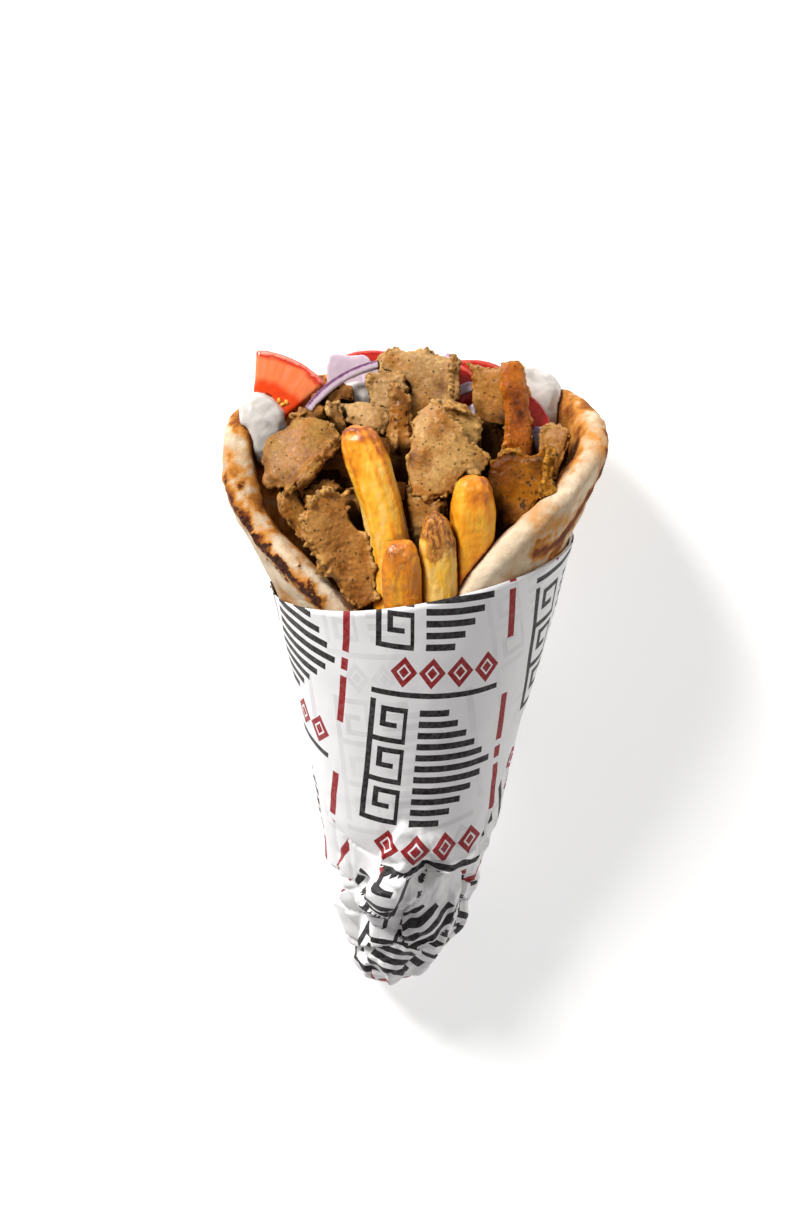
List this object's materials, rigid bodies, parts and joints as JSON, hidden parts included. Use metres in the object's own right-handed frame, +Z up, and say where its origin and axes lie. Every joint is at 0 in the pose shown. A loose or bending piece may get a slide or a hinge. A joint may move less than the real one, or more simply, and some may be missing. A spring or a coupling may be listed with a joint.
{
  "type": "gyro wrap",
  "caption": "Flatbread folded into a cone round shaved meat, chips, tomato, red onion and yoghurt sauce, wrapped in printed paper and lying on its back.",
  "frame": {"origin": "middle of the bottom of the whole wrap's box, on the surface it lies on", "axes": "+Y runs from the crushed foot of the paper to the open mouth, +Z up out of the open front, +X to the right seen from above with the mouth away"},
  "size_m": [0.1206, 0.2118, 0.0795],
  "materials": {
    "paper": "satin",
    "bread": "matte",
    "meat_heap": "matte",
    "meat": "satin",
    "meat_crust": "gloss",
    "chip": "satin",
    "tomato": "gloss",
    "red_onion": "satin",
    "sauce": "gloss"
  },
  "bodies": {
    "root": {"paper": "paper", "bread": "bread", "meat_core": "meat_heap", "chip_tall": "chip", "chip_skin_left": "chip", "chip_skin_right": "chip", "chip_wide": "chip", "meat_left_low": "meat", "meat_left_edge": "meat", "meat_centre": "meat", "meat_centre_low": "meat", "meat_right_low": "meat", "meat_left_top": "meat", "meat_left_curl": "meat", "meat_behind_chip": "meat", "meat_left_deep": "meat", "meat_centre_edge": "meat", "meat_far_right": "meat", "meat_middle": "meat", "meat_middle_deep": "meat", "meat_crust": "meat_crust", "meat_right_top": "meat", "meat_top_front": "meat", "meat_top": "meat", "meat_top_left": "meat", "meat_flake": "meat", "meat_left_lump": "meat", "meat_back_lump": "meat", "tomato_left": "tomato", "tomato_centre": "tomato", "tomato_back": "tomato", "tomato_right": "tomato", "tomato_back_left": "tomato", "onion_strip": "red_onion", "onion_layer_left": "red_onion", "onion_layer_middle": "red_onion", "onion_strip_right": "red_onion", "onion_strip_low": "red_onion", "onion_back": "red_onion", "onion_far_right": "red_onion", "sauce_left": "sauce", "sauce_middle": "sauce", "sauce_right": "sauce"}
  },
  "joints": []
}
